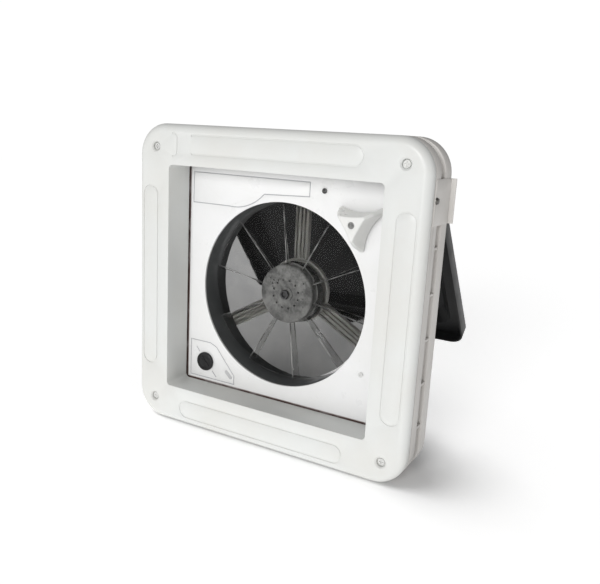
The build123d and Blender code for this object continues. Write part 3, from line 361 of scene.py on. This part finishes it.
# widths in millimetres of the rounded edges of the moulded and pressed parts
ROUND = {
    "trim_ring": 0.8, "roof_frame": 0.8, "frame_neck": 0.8, "corner_tubes": 0.4,
    "frame_ribs": 0.3, "fan_plate": 0.7, "fan_shroud": 0.7, "motor_spider": 0.5,
    "motor_can": 0.5, "motor_end_cap": 0.5, "crank_knob": 1.3, "crank_screw": 0.3,
    "crank_bush": 0.5, "gearbox_housing": 0.5, "gearbox_cover": 0.5, "lift_arm": 0.4,
    "slide_button": 0.4, "lid": 0.9, "lift_track": 0.3, "hinge_post_left": 0.6,
    "hinge_post_right": 0.6, "hinge_pins": 0.5, "side_bracket_left": 0.7,
    "side_bracket_right": 0.7, "bracket_screws": 0.5, "speed_knob": 0.4, "speed_switch": 0.5,
    "fuse_holder": 0.5, "trim_screws": 0.4, "plate_screws": 0.3, "spider_screws": 0.4,
    "motor_screws": 0.3, "gearbox_screws": 0.3, "track_screws": 0.3, "post_screws": 0.4,
    "fan_nut": 0.4, "fan_wheel": 0.35,
}
CRISP = math.radians(32)            # edges sharper than this keep a crease in the shading
ROLLED = math.radians(40)           # edges sharper than this are rounded
WELD = 0.01 * MM


def smooth_by_angle(limit):
    """Node group that shades faces smooth and keeps edges sharper than the limit crisp."""
    group = bpy.data.node_groups.new("smooth_by_angle", "GeometryNodeTree")
    group.interface.new_socket("Geometry", in_out="INPUT", socket_type="NodeSocketGeometry")
    group.interface.new_socket("Geometry", in_out="OUTPUT", socket_type="NodeSocketGeometry")
    start = group.nodes.new("NodeGroupInput")
    end = group.nodes.new("NodeGroupOutput")
    faces = group.nodes.new("GeometryNodeSetShadeSmooth")
    edges = group.nodes.new("GeometryNodeSetShadeSmooth")
    edges.domain = "EDGE"
    angle = group.nodes.new("GeometryNodeInputMeshEdgeAngle")
    compare = group.nodes.new("FunctionNodeCompare")
    compare.operation = "LESS_EQUAL"
    compare.inputs["B"].default_value = limit
    group.links.new(start.outputs[0], faces.inputs["Geometry"])
    group.links.new(faces.outputs["Geometry"], edges.inputs["Geometry"])
    group.links.new(angle.outputs["Unsigned Angle"], compare.inputs["A"])
    group.links.new(compare.outputs["Result"], edges.inputs["Shade Smooth"])
    group.links.new(edges.outputs["Geometry"], end.inputs[0])
    return group


SMOOTH = smooth_by_angle(CRISP)


def finish_edges(obj, width):
    """Welds the CAD mesh, rolls its sharp edges by width (metres) and smooths the rest."""
    mesh = obj.data
    for spare in ("custom_normal", "sharp_edge", "sharp_face"):
        if spare in mesh.attributes:
            mesh.attributes.remove(mesh.attributes[spare])
    weld = obj.modifiers.new("weld", "WELD")
    weld.merge_threshold = WELD
    if width:
        rolled = obj.modifiers.new("rolled", "BEVEL")
        rolled.width = width
        rolled.segments = 2
        rolled.limit_method = "ANGLE"
        rolled.angle_limit = ROLLED
        rolled.miter_outer = "MITER_ARC"
        rolled.use_clamp_overlap = True
    shade = obj.modifiers.new("shade", "NODES")
    shade.node_group = SMOOTH


for node, key in WEARS.items():
    obj = nodes[node]
    obj.data.materials.clear()
    obj.data.materials.append(looks[key])
    finish_edges(obj, ROUND.get(node, 0) * MM)


# ---------------------------------------------------------------- floor
FLOOR_REACH = 6.0
FLOOR_SINK = 0.2 * MM               # keeps the sheet clear of the faces that stand on it
FLOOR_GLOW = 0.62                   # light the sheet gives from below
OPEN_SIDE = (-0.70, -0.42, 0.58)    # the side that the sheet's glow is open to
SHADE_REACH = 0.20
SHADE_SPAN = (0.50, 0.97)
BACK_PATCH = (-0.07, 0.25)          # centre of the sheet's shadowed patch behind the object
PATCH_SPAN = (0.04, 0.25)
PATCH_DEPTH = 0.72
THROUGH_SPAN = (0.45, 1.0)          # painted shade: behind the wheel the sheet is greyer near than far
THROUGH_GREY = 0.26


def make_floor():
    mesh = bpy.data.meshes.new("floor")
    corners = ((-1, -1), (1, -1), (1, 1), (-1, 1))
    mesh.from_pydata([(FLOOR_REACH * x, FLOOR_REACH * y, 0) for x, y in corners], [], [(0, 1, 2, 3)])
    floor = bpy.data.objects.new("floor", mesh)
    floor.location.z = CAD_LOW.z - FLOOR_SINK
    bpy.context.scene.collection.objects.link(floor)
    look = Look("floor_white", Roughness=0.9, Specular_IOR_Level=0.1,
                Emission_Color=(1.0, 1.0, 1.0, 1.0))
    paper = look.mix(look.noise(3.0, 3.0), (0.89, 0.89, 0.89), (0.91, 0.91, 0.91))
    x, y, z = look.place()
    path = look.tree.nodes.new("ShaderNodeLightPath")
    seen_through = path.outputs["Is Transmission Ray"]
    # painted shade: seen through the wheel, the sheet is darkened, more near the object than far
    grey = look.times(look.spread(y, *THROUGH_SPAN, THROUGH_GREY, 0.0), seen_through)
    look.colour(look.mix(grey, paper, (0.0, 0.0, 0.0)))
    # painted shadow: the glow fades beside the object, behind it and where the wheel is seen through
    open_side = look.tree.nodes.new("ShaderNodeCombineXYZ")
    for axis, value in zip("XYZ", OPEN_SIDE):
        open_side.inputs[axis].default_value = value
    open_sky = look.tree.nodes.new("ShaderNodeAmbientOcclusion")
    open_sky.inputs["Distance"].default_value = SHADE_REACH
    look.link(open_side.outputs["Vector"], open_sky.inputs["Normal"])
    direct = look.spread(seen_through, 0.0, 1.0, FLOOR_GLOW, 0.0)
    glow = look.times(look.spread(open_sky.outputs["AO"], *SHADE_SPAN), direct)
    away = look.length(look.math("SUBTRACT", x, BACK_PATCH[0]), look.math("SUBTRACT", y, BACK_PATCH[1]))
    patch = look.times(look.spread(away, *PATCH_SPAN, PATCH_DEPTH, 0.0), path.outputs["Is Camera Ray"])
    look.link(look.times(glow, look.inverse(patch)), look.shader.inputs["Emission Strength"])
    floor.data.materials.append(look.mat)


make_floor()

# ---------------------------------------------------------------- lights
SKY_LIGHT = 0.33         # what the studio's walls give as light
SKY_SEEN = 1.02          # what is seen behind the object

world = bpy.data.worlds.new("studio")
bpy.context.scene.world = world
world.use_nodes = True
sky = world.node_tree.nodes
rays = sky.new("ShaderNodeLightPath")
strength = sky.new("ShaderNodeMapRange")
strength.inputs["To Min"].default_value = SKY_LIGHT
strength.inputs["To Max"].default_value = SKY_SEEN
world.node_tree.links.new(rays.outputs["Is Camera Ray"], strength.inputs["Value"])
world.node_tree.links.new(strength.outputs["Result"], sky["Background"].inputs["Strength"])
sky["Background"].inputs["Color"].default_value = (1.0, 1.0, 1.0, 1.0)


def sun(name, side, height, softness, power):
    """A soft distant light: side is degrees left of the front, height above the floor."""
    light = bpy.data.lights.new(name, "SUN")
    light.energy = power * math.pi
    light.angle = math.radians(softness)
    lamp = bpy.data.objects.new(name, light)
    turn, rise = math.radians(side), math.radians(height)
    towards = Vector((-math.sin(turn) * math.cos(rise), -math.cos(turn) * math.cos(rise), math.sin(rise)))
    lamp.rotation_mode = "QUATERNION"
    lamp.rotation_quaternion = (-towards).to_track_quat("-Z", "Y")
    bpy.context.scene.collection.objects.link(lamp)


sun("key", side=-3, height=14, softness=25, power=0.52)

# ---------------------------------------------------------------- camera
AZIMUTH = math.radians(29.05)
ELEVATION = math.radians(12.99)
ROLL = math.radians(3.13)
TARGET = Vector((58.2, -17.0, 15.5)) * MM
DISTANCE = 893.8 * MM
LENS = 40.8
SENSOR = 36.0

back = Vector((math.sin(AZIMUTH) * math.cos(ELEVATION), -math.cos(AZIMUTH) * math.cos(ELEVATION),
               math.sin(ELEVATION)))
right = (-back).cross(Vector((0, 0, 1))).normalized()
up = right.cross(-back)
right_rolled = right * math.cos(ROLL) + up * math.sin(ROLL)
up_rolled = up * math.cos(ROLL) - right * math.sin(ROLL)
camera_data = bpy.data.cameras.new("camera")
camera_data.lens = LENS
camera_data.sensor_width = SENSOR
camera = bpy.data.objects.new("camera", camera_data)
bpy.context.scene.collection.objects.link(camera)
facing = Matrix((right_rolled, up_rolled, back)).transposed().to_4x4()
camera.matrix_world = Matrix.Translation(TARGET + back * DISTANCE) @ facing
bpy.context.scene.camera = camera
bpy.context.scene.view_settings.view_transform = "Standard"
